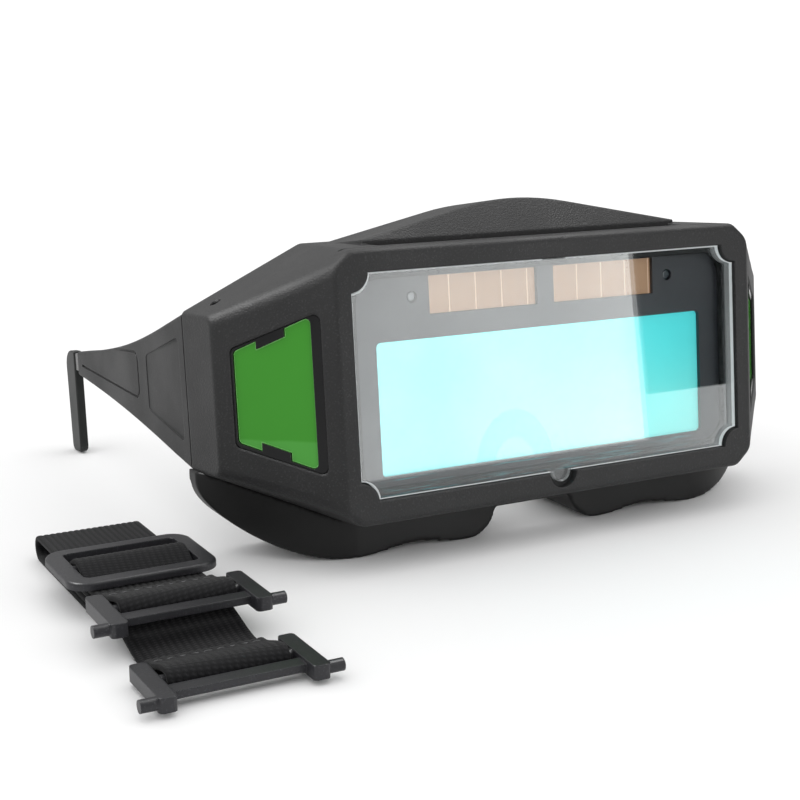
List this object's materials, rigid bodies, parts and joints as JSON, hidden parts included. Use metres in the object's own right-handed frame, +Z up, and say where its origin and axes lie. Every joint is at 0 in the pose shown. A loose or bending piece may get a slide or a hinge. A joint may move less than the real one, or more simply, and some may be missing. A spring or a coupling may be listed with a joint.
{
  "type": "welding goggles",
  "caption": "Auto-darkening welding goggles with a wide lens, tinted side windows, soft cheek seal, folding temples and a clip-on elastic headband beside them.",
  "frame": {"origin": "bottom centre of the whole set's box, goggles resting on their lobes and ear tips with the headband beside them on the same surface", "axes": "+Z up, -Y the way the goggles look, +X to the wearer's left"},
  "size_m": [0.2082, 0.2014, 0.0825],
  "materials": {
    "shell_black": "fine spark-eroded grain",
    "clear_lens": "clear polycarbonate",
    "cartridge_black": "smooth satin",
    "filter_cyan": "reflective cyan interference coating",
    "lcd_glass": "dark green liquid-crystal cell",
    "solar_cell": "amorphous silicon, fine cell lines",
    "sensor": "black epoxy dome",
    "circuit_board": "green solder mask",
    "battery_steel": "lithium coin cell",
    "green_window": "green tinted polycarbonate",
    "gloss_black": "polished black",
    "soft_rubber": "smooth soft elastomer",
    "foam": "closed-cell foam",
    "temple_black": "fine grain",
    "bar_grey": "light grey plastic",
    "tip_rubber": "satin elastomer",
    "webbing": "ribbed black elastic",
    "clip_black": "moulded acetal"
  },
  "bodies": {
    "goggles": {"housing": "shell_black", "adf_front_case": "cartridge_black", "adf_rear_case": "cartridge_black", "uv_ir_filter": "filter_cyan", "lcd_front": "lcd_glass", "lcd_rear": "lcd_glass", "solar_cell_right": "solar_cell", "solar_cell_left": "solar_cell", "light_sensor_right": "sensor", "light_sensor_left": "sensor", "circuit_board": "circuit_board", "battery": "battery_steel", "inner_cover_lens": "clear_lens", "adf_retainer": "cartridge_black", "side_window_right": "green_window", "side_window_left": "green_window", "window_frame_right": "gloss_black", "window_frame_left": "gloss_black", "cheek_seal": "soft_rubber", "brow_pad": "foam"},
    "cover_lens": {"cover_lens": "clear_lens"},
    "temple_right": {"temple_right": "temple_black"},
    "temple_left": {"temple_left": "temple_black"},
    "tip_right": {"temple_bar_right": "bar_grey", "ear_tip_right": "tip_rubber"},
    "tip_left": {"temple_bar_left": "bar_grey", "ear_tip_left": "tip_rubber"},
    "strap": {"strap_webbing": "webbing", "strap_slider": "clip_black"},
    "clip_1": {"strap_clip_1": "clip_black"},
    "clip_2": {"strap_clip_2": "clip_black"}
  },
  "joints": [
    {"name": "temple_right_fold", "type": "hinge", "parent": "goggles", "child": "temple_right", "pos_m": [-0.05479, -0.01844, 0.03968], "axis": [0, -0.0992, -0.9951], "range_deg": [0, 90]},
    {"name": "temple_left_fold", "type": "hinge", "parent": "goggles", "child": "temple_left", "pos_m": [0.09761, -0.01844, 0.03968], "axis": [0, 0.0992, 0.9951], "range_deg": [0, 80]},
    {"name": "tip_right_length", "type": "slide", "parent": "temple_right", "child": "tip_right", "axis": [0, 0.9951, -0.0992], "range_m": [-0.005, 0.008]},
    {"name": "tip_left_length", "type": "slide", "parent": "temple_left", "child": "tip_left", "axis": [0, 0.9951, -0.0992], "range_m": [-0.005, 0.008]},
    {"name": "cover_lens_release", "type": "slide", "parent": "goggles", "child": "cover_lens", "axis": [0, -0.9951, 0.0992], "range_m": [0, 0.02]},
    {"name": "strap_lift", "type": "slide", "parent": "goggles", "child": "strap", "axis": [0, 0, 1], "range_m": [0, 0.1]},
    {"name": "clip_1_turn", "type": "hinge", "parent": "strap", "child": "clip_1", "pos_m": [-0.08359, -0.06269, 0.00765], "axis": [-1, 0, 0], "range_deg": [0, 100]},
    {"name": "clip_2_turn", "type": "hinge", "parent": "strap", "child": "clip_2", "pos_m": [-0.08359, -0.08969, 0.0027], "axis": [-1, 0, 0], "range_deg": [0, 100]}
  ]
}
